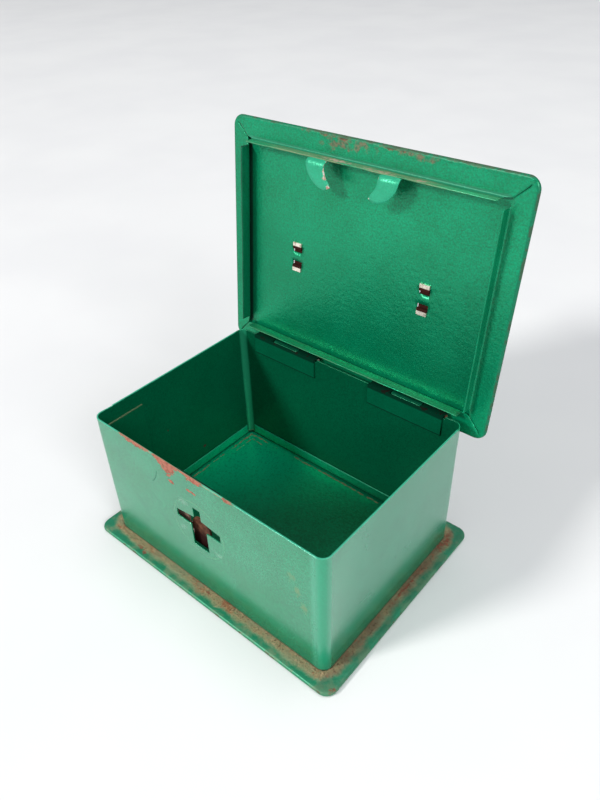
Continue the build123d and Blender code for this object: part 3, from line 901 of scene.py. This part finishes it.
def lid_finish():
    """Green lid with rust on the front hem and a scuffed front skirt; painted shade over the hinge half,
    along the outer edge, in the folds and on the left skirt.
    """
    f = enamel("lid_enamel", on_lid=True)
    x, y, z = f.x, f.y, f.z
    f.coat = y.step(12.0, -36.0) * 0.10 + 0.01
    # painted shade: the panel darker over its half towards the hinge
    f.layer((0.0, 0.150, 0.070), 0.34, 0.45, y.step(-34.0, 6.0) * y.step(52.0, 30.0) * 0.30)
    front = y.step(-52.6, -53.2)
    ledge = z.step(81.9, 81.0) * (abs(x) - 74.2).over(abs(y) - 54.2).step(0.0, 0.6)
    # worn paint and rust freckles on the front hem, strongest at the outer edge
    freckle = f.blobs(((-10, -61.2, 82), (34, 7.5, 5)), ((28, -62.4, 82), (20, 4.0, 5)))
    pits = chipped(f, freckle * 0.95, seed=21.0, size=4.0, crisp=0.14, level=0.66)
    tone = f.noise(1.5, 3.0, seed=20.0).step(0.35, 0.6)
    f.layer(f.mix((0.050, 0.042, 0.028), (0.225, 0.066, 0.052), tone), 0.7, 0.0, pits * 0.62)
    rim = f.blobs(((-18, -63.6, 82.2), (30, 2.6, 3)), ((16, -63.7, 82.2), (30, 2.4, 3)),
                  ((52, -64.0, 82.2), (24, 1.7, 3)))
    rims = chipped(f, rim, seed=27.0, size=4.6, crisp=0.14, level=0.56)
    tone = f.noise(1.8, 3.0, seed=28.0).step(0.3, 0.6)
    f.layer(f.mix(RUST_DARK, RUST_RED, tone), 0.85, 0.0, rims * 0.85, lift=-0.05)
    # painted shade darkens the outer rounded edge all round; dark chips of wear follow
    edge = (abs(x) - 83.4).over(abs(y) - 63.2)
    f.layer((0.0, 0.130, 0.062), 0.55, 0.2, edge.step(-0.4, 0.4) * 0.75)
    edge = chipped(f, edge.step(-0.2, 0.7) * 0.7, seed=23.0, size=5.0, level=0.80)
    f.layer((0.055, 0.045, 0.026), 0.8, 0.0, edge * 0.6)
    fleck = f.noise(1.3, 4.0, roughness=0.75, seed=22.0)
    f.layer((0.0, 0.110, 0.055), 0.36, 0.3, fleck.step(0.50, 0.62) * 0.35)
    # scuffed front skirt: dirt in streaks along it, bare patches in the middle
    streaks = f.noise(1.0, 4.0, stretch=(16, 1, 0.8), seed=24.0)
    wide = f.noise(16.0, 3.0, stretch=(1, 4, 4), seed=29.0)
    skirt_front = z.step(80.9, 80.2) * front
    scuffs = skirt_front * (streaks.step(0.32, 0.52) * 0.40 + wide.step(0.35, 0.6) * 0.30)
    f.layer(f.mix((0.085, 0.125, 0.055), (0.27, 0.24, 0.13), streaks.step(0.35, 0.62)), 0.7, 0.0,
            scuffs * (abs(x + 6.0).step(66.0, 22.0) * 0.75 + 0.25))
    # painted shade: dark lines in the folds of the front and the left skirt, between the corners, and the
    # left skirt's inner face darkened
    between = (abs(x) - 74.0).step(0.0, -1.0)
    under = abs(y + 53.9).step(1.6, 0.9) * z.step(79.6, 80.6)
    f.layer((0.012, 0.190, 0.105), 0.55, 0.1, under * between * 0.7)
    between = (abs(y) - 53.0).step(0.0, -1.0)
    under = x.step(-72.2, -72.9) * z.step(82.2, 82.6) * z.step(83.55, 83.35)
    f.layer((0.0, 0.010, 0.006), 0.6, 0.0, under * between * 0.9)
    f.layer((0.0, 0.026, 0.014), 0.5, 0.0, x.step(-72.8, -73.6) * z.step(81.0, 80.2) * between * 0.85)
    bare = f.blobs(((-12, -53.5, 77.5), (20, 2.8, 4.0)), ((12, -53.5, 76.5), (18, 2.8, 3.0)),
                   ((33, -53.5, 77.0), (6, 2.8, 3.0)))
    bare = chipped(f, bare * front, seed=25.0, size=2.4, crisp=0.14, level=0.70)
    f.layer(f.mix((0.42, 0.20, 0.155), (0.42, 0.36, 0.29), streaks.step(0.4, 0.6)), 0.6, 0.1, bare * 0.8)
    back = y.step(51.4, 51.9) * z.step(81.0, 80.2)
    f.layer((0.085, 0.125, 0.055), 0.7, 0.0, back * (streaks.step(0.4, 0.6) * 0.4))
    grime = ledge * (abs(x) - 74.2).over(abs(y) - 54.0).step(1.8, 0.2)
    f.layer((0.04, 0.11, 0.055), 0.6, 0.0, grime * f.noise(6.0, 3.0, seed=26.0).step(0.35, 0.65) * 0.4)
    return f.done()


def hinge_finish(name, on_lid=False):
    """Green darkened as painted shade, without a glossy skin; rusty at the knuckles with painted shade there,
    and a painted shadow line under the body leaf.
    """
    f = enamel(name, on_lid, peel=0.8, coat=0.0)
    f.shader.inputs["Specular IOR Level"].default_value = 0.08
    # painted shade: the leaves darkened, the lid's leaves more
    f.layer((0.0, 0.045, 0.022) if on_lid else (0.0, 0.080, 0.036), 0.5, 0.3,
            f.noise(7.0, 3.0, seed=36.0) * 0.2 + (0.78 if on_lid else 0.68))
    # painted shade: darker at the knuckles
    f.layer((0.0, 0.022, 0.011), 0.6, 0.1, f.z.step(78.4, 79.4) * 0.9)
    if not on_lid:
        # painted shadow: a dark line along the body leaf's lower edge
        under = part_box("body_hinge_leaf_left")[0].z / MM
        f.layer((0.0, 0.012, 0.006), 0.7, 0.0, f.z.step(under + 0.8, under + 0.3) * 0.85)
    # near-black rust at the knuckles, which also stands for painted shade in the notches
    rust = chipped(f, f.z.step(78.6, 81.0) * 0.5, seed=31.0, size=4.5, level=0.76)
    f.layer((0.010, 0.007, 0.005), 0.85, 0.0, rust * 0.9)
    return f.done()


def claw_finish():
    """Green lightened as a painted highlight, with bare steel at the tips."""
    f = enamel("claw_enamel", on_lid=True, peel=1.4)
    # painted highlight: the claws lighter than the panel
    f.layer((0.035, 0.43, 0.25), 0.46, 0.1, f.noise(5.0, 3.0, seed=35.0) * 0.3 + 0.4)
    tip = f.blobs(((-13.6, -41.6, 74.5), (4.2, 3.6, 6)), ((-16.7, -48.5, 75), (2.4, 11.0, 9)),
                  ((8.8, -41.0, 75), (1.6, 2.2, 5)), ((12.9, -51.0, 77), (1.9, 3.0, 6)))
    bare = chipped(f, tip, seed=34.0, size=1.8, crisp=0.10, level=0.66)
    f.layer(f.mix((0.46, 0.25, 0.19), STEEL, f.noise(1.2, 3.0, seed=33.0).step(0.42, 0.6)), 0.38, 0.6, bare)
    return f.done()


def steel_finish(name, rusty, on_lid=False):
    """Bare steel, more or less rusty. On the lid it is dark where a leg passes through the panel."""
    f = Finish(name, on_lid)
    tone = f.noise(2.4, 4.0, seed=41.0)
    f.colour = f.mix((0.40, 0.33, 0.25), (0.80, 0.74, 0.64), tone.step(0.32, 0.52))
    f.shader.inputs["Specular IOR Level"].default_value = 0.15
    f.rough = tone.step(0.3, 0.7) * 0.2 + 0.26
    f.metal = tone * 0.3 + 0.65
    f.height = f.noise(0.6, 2.0, stretch=(1, 6, 1), seed=42.0) * 0.05 + f.noise(1.6, 2.0, seed=45.0) * 0.12
    if on_lid:
        hollow = abs(f.y - 2.6).step(6.2, 5.8) * f.z.step(84.7, 84.3)
        f.layer((0.032, 0.006, 0.004), 0.9, 0.0, hollow)
    rust = chipped(f, tone * 0.2 + (rusty - 0.1), seed=43.0, size=2.0, level=0.62, crisp=0.14)
    tone = f.noise(1.2, 3.0, seed=46.0).step(0.35, 0.6)
    f.layer(f.mix(RUST_DARK, (0.22, 0.09, 0.05), tone), 0.85, 0.0, rust, lift=0.05)
    return f.done()


def bolt_finish():
    """Red-brown rust, paler left of the cross, black at the foot as painted shade, and green paint at the
    head darkened as painted shade.
    """
    f = Finish("bolt_steel")
    f.shader.inputs["Specular IOR Level"].default_value = 0.12
    tone = f.noise(3.2, 5.0, seed=51.0)
    left = f.x.step(-11.5, -13.5)
    warm = f.mix((0.060, 0.022, 0.012), (0.14, 0.058, 0.032), tone.step(0.35, 0.65))
    pale = f.mix((0.17, 0.10, 0.075), (0.27, 0.18, 0.14), tone.step(0.35, 0.65))
    f.colour = f.mix(warm, pale, left)
    f.rough = tone * 0.3 + 0.55
    f.metal = tone * 0.2 + 0.05
    f.height = tone * 0.15 + f.noise(0.8, 3.0, seed=52.0) * 0.08
    # painted shade: black towards the foot
    f.layer((0.020, 0.004, 0.003), 0.8, 0.0, f.z.step(43.5, 38.5))
    # green paint at the head, darkened as painted shade to sink into the shaded inside
    f.layer((0.0, 0.045, 0.022), 0.6, 0.0, f.z.step(72.5, 74.0))
    return f.done()


def bail_finish():
    """Green enamel worn to the steel along the grip."""
    f = enamel("bail_enamel", on_lid=True, peel=0.6)
    grip = chipped(f, (abs(f.x).step(30.0, 12.0)) * 0.55 + 0.12, seed=61.0, size=4.0, level=0.66)
    f.layer(f.mix((0.26, 0.17, 0.12), STEEL, f.noise(1.5, 3.0, seed=62.0).step(0.4, 0.6)), 0.4, 0.8, grip)
    return f.done()


def dress(piece, material):
    """Give a piece its only material."""
    piece.data.materials.clear()
    piece.data.materials.append(material)


# ---------------------------------------------------------------- pieces

BRACKET_X, BRACKET_Y = 39.5 * MM, 2.6 * MM
HOLE_HALF, HOLE_NEAR, HOLE_FAR = 3.05 * MM, 2.5 * MM, 5.55 * MM
BASE_GAP, LID_GAP, LID_BACK_GAP = 0.15 * MM, 0.35 * MM, 1.6 * MM
FIRST_OPEN = 6
BASE_LIFT, BASE_WAVE, BASE_WAVE_SIZE = 0.10 * MM, 0.16 * MM, 30 * MM
LID_LIFT, LID_WAVE, LID_WAVE_SIZE = 0.08 * MM, 0.13 * MM, 36 * MM
SKIRT_SWAY, SKIRT_SWAY_SIZE = 0.16 * MM, 17 * MM
SKIRT_RISE, SKIRT_RISE_SIZE, SKIRT_DROP = 0.12 * MM, 11 * MM, 0.10 * MM


def add_base():
    """The base pan, its panel a little uneven. Its mitre seams are filled up to the skirt."""
    piece, _ = pan("base_pan", BASE_LEDGE, BASE_GAP, BASE_GAP, BASE_GAP, first_open=FIRST_OPEN)
    for v in piece.data.vertices:
        v.co.z += HEM
        inner = 1 - max(abs(v.co.x) / base_high.x, abs(v.co.y) / base_high.y)
        lift = max(0.0, BASE_LIFT + BASE_WAVE * wave(v.co.x, v.co.y, 0, BASE_WAVE_SIZE, 2.0))
        v.co.z += lift * min(1.0, 8 * inner) if v.co.z < HEM - 0.5 * MM else 0.0
    dress(piece, base_finish())
    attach(piece, "box")
    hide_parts("base_plate")


def add_lid():
    """The lid pan with its bracket holes and its uneven panel and skirt, made closed and then opened."""
    holes = []
    for side in (-1, 1):
        for s in (-1, 1):
            near, far = sorted((BRACKET_Y + s * HOLE_NEAR, BRACKET_Y + s * HOLE_FAR))
            holes.append((side * BRACKET_X - HOLE_HALF, side * BRACKET_X + HOLE_HALF, near, far))
    piece, skirt = pan("lid_pan", LID_LEDGE, LID_GAP, LID_GAP, LID_BACK_GAP, holes)
    for v in piece.data.vertices:
        co = v.co
        if co.z < -HEM + SHEET + 0.05 * MM:
            centre = min(1.0, 6 * (1 - max(abs(co.x) / HALF_X, abs(co.y) / HALF_Y)))
            co.z += max(0.0, centre) * (LID_LIFT + LID_WAVE * wave(co.x, co.y, 0, LID_WAVE_SIZE, 5.0))
        if co.z > BEND:
            sway = SKIRT_SWAY * wave(co.x, co.y, 0, SKIRT_SWAY_SIZE, 6.0) * co.z / SKIRT
            if abs(co.y) > abs(skirt["front"]) - 3 * MM:
                co.y += sway
            else:
                co.x += sway
            co.z += SKIRT_RISE * wave(co.x, co.y, 0, SKIRT_RISE_SIZE, 8.0) - SKIRT_DROP
        co.z = LID_UNDER - co.z
    piece.data.flip_normals()
    piece.data.transform(lid_opened)
    dress(piece, lid_finish())
    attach(piece, "lid")
    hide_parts("lid_shell")


def add_body():
    """The walls and the end of their strip that laps inside the left wall."""
    walls = add_walls()
    dress(walls, wall_finish())
    soften(walls, WALL_ROUND, WALL_ROUND_FROM)
    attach(walls, "box")
    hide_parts("body_shell")
    lap_low = Vector((-HALF_X + WALL + 0.01 * MM, LAP_START_Y, base_high.z + 0.6 * MM))
    lap_high = Vector((-HALF_X + 2 * WALL, LAP_END_Y, RIM - 9.1 * MM))
    lap = add_plate("wall_lap", lap_low, lap_high, WALL_STEP)
    dress(lap, lap_finish())
    soften(lap, WALL_ROUND, WALL_ROUND_FROM)
    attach(lap, "box")


CLAW_BEND = 3.4 * MM
CLAW_ROOT_INNER, CLAW_ROOT_OUTER, CLAW_REACH, CLAW_SHEET = 15.2 * MM, 26.7 * MM, 13.8 * MM, 0.9 * MM
CLAW_STEP, CLAW_MARGIN = 0.5 * MM, 0.3 * MM
HOOK_BACK = (CLAW_ROOT_OUTER, 0.0), (22.6 * MM, 10.2 * MM), (14.4 * MM, CLAW_REACH)
HOOK_TIP = (11.2 * MM, 12.2 * MM)
HOOK_FRONT = (12.4 * MM, 9.6 * MM), (15.0 * MM, 5.5 * MM), (CLAW_ROOT_INNER, 0.0)


def through(a, b, c, steps):
    """Points on the circle arc from a over b to c, both ends included."""
    (ax, ay), (bx, by), (cx, cy) = a, b, c
    a2, b2, c2 = (p ** 2 + q ** 2 for p, q in (a, b, c))
    d = 2 * (ax * (by - cy) + bx * (cy - ay) + cx * (ay - by))
    ux = (a2 * (by - cy) + b2 * (cy - ay) + c2 * (ay - by)) / d
    uy = (a2 * (cx - bx) + b2 * (ax - cx) + c2 * (bx - ax)) / d
    radius = math.hypot(ax - ux, ay - uy)
    start, mid, end = (math.atan2(q - uy, p - ux) for p, q in (a, b, c))
    sweep = (end - start) % (2 * math.pi)
    if (mid - start) % (2 * math.pi) > sweep:
        sweep -= 2 * math.pi
    turns = [start + sweep * k / steps for k in range(steps + 1)]
    return [(ux + radius * math.cos(t), uy + radius * math.sin(t)) for t in turns]


def add_claw(side, node, material):
    """A claw bent out of the lid's skirt: a foot, a round bend and the curved hook."""
    low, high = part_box(node)
    inverse = lid_opened.inverted()
    corners = [inverse @ Vector((x, y, z))
               for x in (low.x, high.x) for y in (low.y, high.y) for z in (low.z, high.z)]
    front = min(c.y for c in corners)
    under = min(c.z for c in corners)
    top = max(c.z for c in corners)
    hook = through(*HOOK_BACK, 14) + [HOOK_TIP] + through(*HOOK_FRONT, 10)
    foot = top - under - CLAW_BEND
    quarter = CLAW_BEND * math.pi / 2

    def along(back):
        """Distance from the foot's top, measured on the sheet, to a point this far back."""
        if back >= CLAW_BEND:
            return foot + quarter + back - CLAW_BEND
        return foot + CLAW_BEND * math.acos(1 - max(0.0, back) / CLAW_BEND)

    def place(across, run, depth):
        """The point of the bent sheet at a place on its flat outline; depth 0 is the dented outside."""
        across = across + 0.12 * MM * wave(across, run, 0, 4 * MM, side)
        if run <= foot:
            out, spot = Vector((0, -1, 0)), Vector((0, front, top - run))
        elif run <= foot + quarter:
            turn = (run - foot) / CLAW_BEND
            out = Vector((0, -math.cos(turn), -math.sin(turn)))
            spot = Vector((0, front + CLAW_BEND, under + CLAW_BEND)) + out * CLAW_BEND
        else:
            out, spot = Vector((0, 0, -1)), Vector((0, front + CLAW_BEND + run - foot - quarter, under))
        dent = 0.10 * MM * (1 + wave(across, run, 0, 5 * MM, 4.0 + side))
        dent = dent * min(1.0, max(0.0, run - foot) / MM)
        near = min(math.hypot(across - p, run - q) for p, q in fine)
        roll = 0.45 * MM * max(0.0, 1 - near / (2.6 * MM)) ** 2
        return Vector((LOCK_X + side * across, 0, 0)) + spot - out * (depth or dent + roll)

    outline = [(CLAW_ROOT_OUTER, foot * k / 4) for k in range(4)]
    outline += [(p, along(q)) for p, q in hook]
    outline += [(CLAW_ROOT_INNER, foot * (3 - k) / 4) for k in range(4)]
    fine = evenly(outline, CLAW_STEP)
    flat = list(fine)
    for i in range(40):
        for j in range(46):
            x, y = 10 * MM + i * CLAW_STEP, j * CLAW_STEP
            if inside_polygon(x, y, fine) and min(math.hypot(x - p, y - q) for p, q in fine) > CLAW_MARGIN:
                flat.append((x, y))
    edges = closed_edges(len(fine))
    coords, _, triangles, _, _, _ = delaunay_2d_cdt([Vector(q) for q in flat], edges, [], 1, 1e-8)
    points = [place(c.x, c.y, depth) for depth in (0.0, CLAW_SHEET) for c in coords]
    piece = mesh_object(node.replace("lid_catch", "claw"), points, sheet_faces(triangles, len(coords)))
    piece.data.transform(lid_opened)
    dress(piece, material)
    soften(piece, 0.22 * MM, 60)
    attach(piece, "lid")
    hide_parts(node)


def dress_nodes():
    """Materials and softened edges for the pieces that stay as their CAD solids."""
    body_leaf, lid_leaf = hinge_finish("hinge_enamel"), hinge_finish("hinge_enamel_lid", True)
    pin = steel_finish("pin_steel", 0.95)
    bracket = steel_finish("bracket_steel", 0.15, on_lid=True)
    bail, bolt, rivet = bail_finish(), bolt_finish(), steel_finish("rivet_steel", 0.6)
    looks = {
        "body_hinge_leaf_": (body_leaf, "hinge_paint", 0.15),
        "lid_hinge_leaf_": (lid_leaf, "hinge_paint", 0.15),
        "hinge_pin_": (pin, "pin_steel", 0.0),
        "handle_bracket_": (bracket, "bracket_steel", 0.15),
        "handle_bail": (bail, "bail_paint", 0.0),
        "lock_bolt": (bolt, "rusty_steel", 0.12),
        "lock_rivet_": (rivet, "rusty_steel", 0.2),
    }
    for name, piece in nodes.items():
        for start, (material, slot, round_off) in looks.items():
            if name.startswith(start):
                dress(piece, material)
                if round_off:
                    soften(piece, round_off * MM, 40)


# ---------------------------------------------------------------- camera, light and floor

CAMERA_AT = Vector((0.18354, -0.19069, 0.29281))
CAMERA_LOOKS = Vector((-0.52469, 0.6010, -0.6029))
CAMERA_ROLL = math.radians(-1.84)
CAMERA_LENS = 30.64


def add_camera():
    """The camera where the photo was taken from."""
    data = bpy.data.cameras.new("camera")
    data.lens = CAMERA_LENS
    data.sensor_width = 36.0
    data.clip_start, data.clip_end = 0.01, 20.0
    cam = bpy.data.objects.new("camera", data)
    scene.collection.objects.link(cam)
    turn = CAMERA_LOOKS.to_track_quat("-Z", "Y").to_matrix().to_4x4()
    cam.matrix_world = Matrix.Translation(CAMERA_AT) @ turn @ Matrix.Rotation(CAMERA_ROLL, 4, "Z")
    scene.camera = cam


def add_light(name, at, size, power, colour):
    """A soft panel aimed at the middle of the box."""
    data = bpy.data.lights.new(name, "AREA")
    data.shape = "DISK"
    data.size = size
    data.energy = power
    data.color = colour
    lamp = bpy.data.objects.new(name, data)
    scene.collection.objects.link(lamp)
    lamp.location = at
    lamp.rotation_euler = (Vector((0, 0, 0.08)) - Vector(at)).to_track_quat("-Z", "Y").to_euler()


def add_studio():
    """Three soft lamps, a pale surround and a white table."""
    add_light("key", (-2.75, -5.35, 3.85), 1.45, 430.0, (1.0, 0.99, 0.97))
    add_light("side", (4.4, -1.5, 2.5), 2.6, 150.0, (0.98, 0.99, 1.0))
    add_light("top", (0.4, 0.9, 5.0), 3.0, 80.0, (0.98, 0.99, 1.0))
    world = bpy.data.worlds.new("studio")
    scene.world = world
    world.use_nodes = True
    world.node_tree.nodes["Background"].inputs[0].default_value = (0.93, 0.96, 1.0, 1)
    world.node_tree.nodes["Background"].inputs[1].default_value = 0.40
    scene.view_settings.view_transform = "Standard"

    f = Finish("floor_paint")
    f.colour = f.mix((0.73, 0.73, 0.735), (0.76, 0.76, 0.76), f.noise(160.0, 3.0).step(0.3, 0.7))
    f.rough = f.noise(60.0, 3.0, seed=2.0) * 0.2 + 0.45
    f.height = f.noise(6.0, 3.0) * 0.05
    material = f.done()
    mesh = bpy.data.meshes.new("floor")
    reach, cells = 3.0, 12
    step = 2 * reach / cells
    row = cells + 1
    grid = [(-reach + i * step, -reach + j * step, 0) for j in range(row) for i in range(row)]
    corners = [j * row + i for j in range(cells) for i in range(cells)]
    mesh.from_pydata(grid, [], [(k, k + 1, k + 1 + row, k + row) for k in corners])
    floor = bpy.data.objects.new("floor", mesh)
    floor.data.materials.append(material)
    scene.collection.objects.link(floor)


add_body()
add_base()
add_lid()
claw_paint = claw_finish()
add_claw(-1, "lid_catch_left", claw_paint)
add_claw(1, "lid_catch_right", claw_paint)
dress_nodes()
add_camera()
add_studio()
